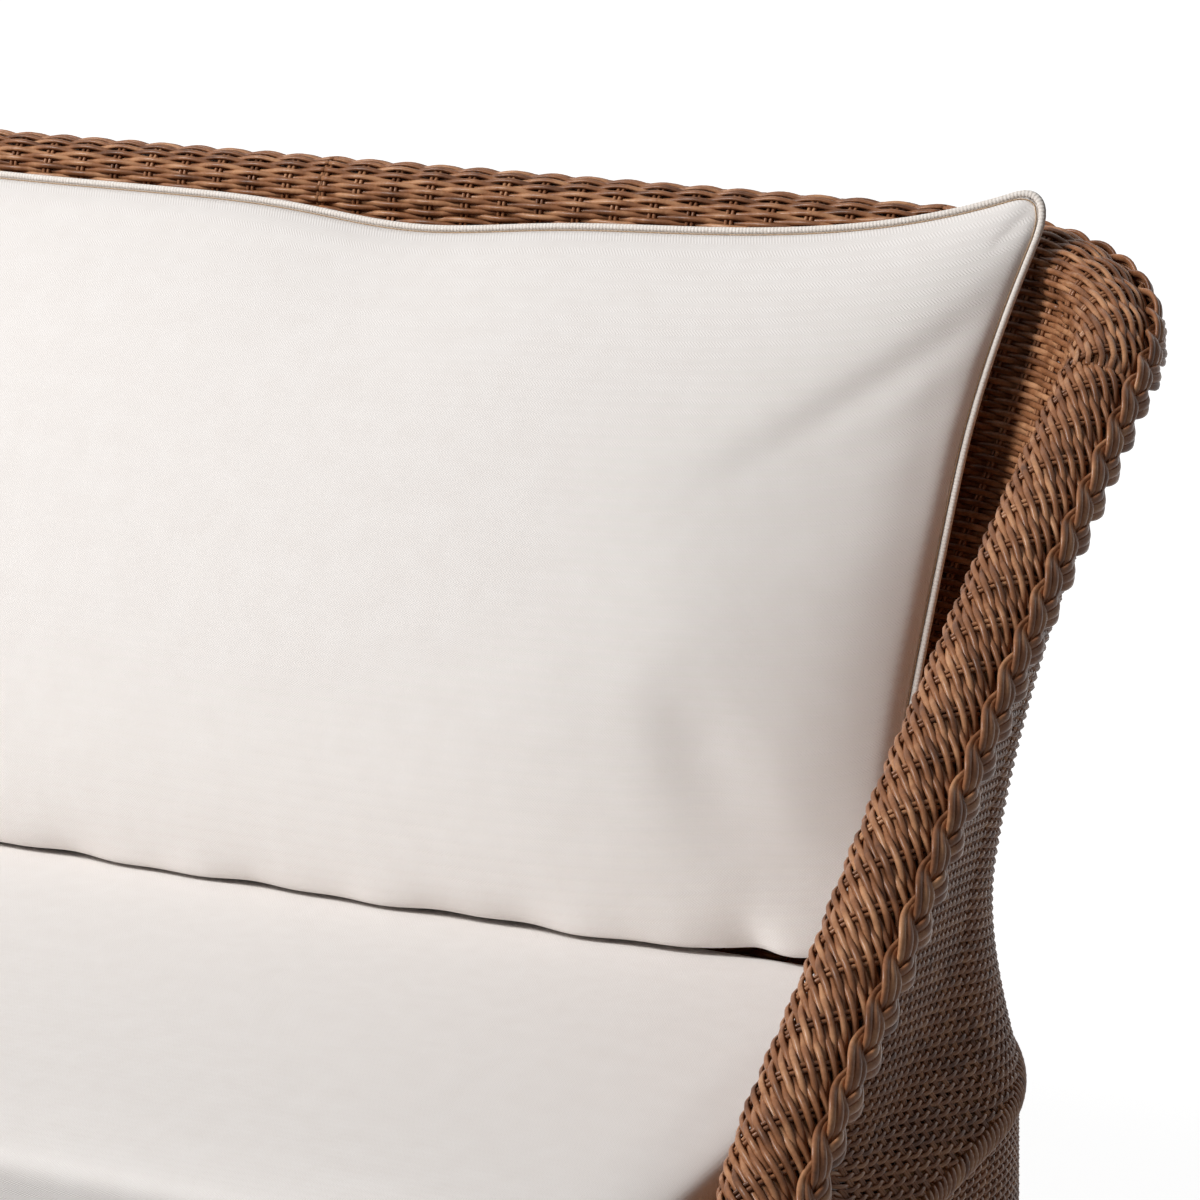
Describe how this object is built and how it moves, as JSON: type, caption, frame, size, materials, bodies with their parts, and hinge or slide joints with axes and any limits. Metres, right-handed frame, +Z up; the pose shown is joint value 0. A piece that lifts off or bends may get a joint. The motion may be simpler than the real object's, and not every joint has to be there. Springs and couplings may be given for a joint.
{
  "type": "rattan garden sofa",
  "caption": "Two-seat woven rattan garden sofa with sloping arms, a rolled and braided rim, a woven base and loose off-white cushions.",
  "frame": {"origin": "on the floor under the middle of the sofa", "axes": "+X along the sofa's width to the sitter's left, the sitter faces -Y, +Z up"},
  "size_m": [1.3996, 0.8593, 0.9129],
  "materials": {
    "pole": "peeled rattan pole, satin",
    "reed": "woven reed, satin, warm brown",
    "braid": "braided reed, satin, warm brown",
    "cloth": "off-white herringbone weave, matte",
    "piping": "corded piping with a thin tan stitch line",
    "foam": "open-cell foam",
    "fibre_fill": "fibre filling",
    "glide": "matte",
    "zip": "coil zip"
  },
  "bodies": {
    "frame": {"arm_rail_left": "pole", "arm_rail_right": "pole", "back_rail": "pole", "seat_rail_front": "pole", "seat_rail_rear": "pole", "seat_rail_left": "pole", "seat_rail_right": "pole", "rear_leg_left": "pole", "rear_leg_right": "pole", "seat_slat_1": "pole", "seat_slat_2": "pole", "seat_slat_3": "pole", "seat_slat_4": "pole", "back_upright_1": "pole", "back_upright_2": "pole", "back_upright_3": "pole", "base_rail_front": "pole", "base_rail_back": "pole", "waist_rail": "pole", "middle_leg_front": "pole", "middle_leg_rear": "pole", "inner_weave_arm_left": "reed", "inner_weave_arm_right": "reed", "inner_weave_corner_left": "reed", "inner_weave_corner_right": "reed", "inner_weave_back": "reed", "outer_weave_left": "reed", "outer_weave_right": "reed", "outer_weave_back": "reed", "skirt_weave_left": "reed", "skirt_weave_right": "reed", "skirt_weave_back": "reed", "apron_weave": "reed", "seat_deck": "reed", "rim_braid_left": "braid", "rim_braid_right": "braid", "rim_braid_back": "braid", "ridge_wale_left": "braid", "ridge_wale_right": "braid", "ridge_wale_back": "braid", "glide_front_left": "glide", "glide_front_right": "glide", "glide_rear_left": "glide", "glide_rear_right": "glide", "glide_middle_front": "glide", "glide_middle_rear": "glide"},
    "seat_cushion": {"seat_cushion_top": "cloth", "seat_cushion_bottom": "cloth", "seat_cushion_boxing": "cloth", "seat_cushion_core": "foam", "seat_cushion_zip": "zip"},
    "back_cushion": {"back_cushion_front": "cloth", "back_cushion_rear": "cloth", "back_cushion_fill": "fibre_fill", "back_piping": "piping", "back_cushion_zip": "zip"}
  },
  "joints": [
    {"name": "seat_cushion_lift", "type": "slide", "parent": "frame", "child": "seat_cushion", "axis": [0, 0, 1], "range_m": [0, 0.5]},
    {"name": "back_cushion_lift", "type": "slide", "parent": "seat_cushion", "child": "back_cushion", "axis": [0, 0, 1], "range_m": [0, 0.5]}
  ]
}
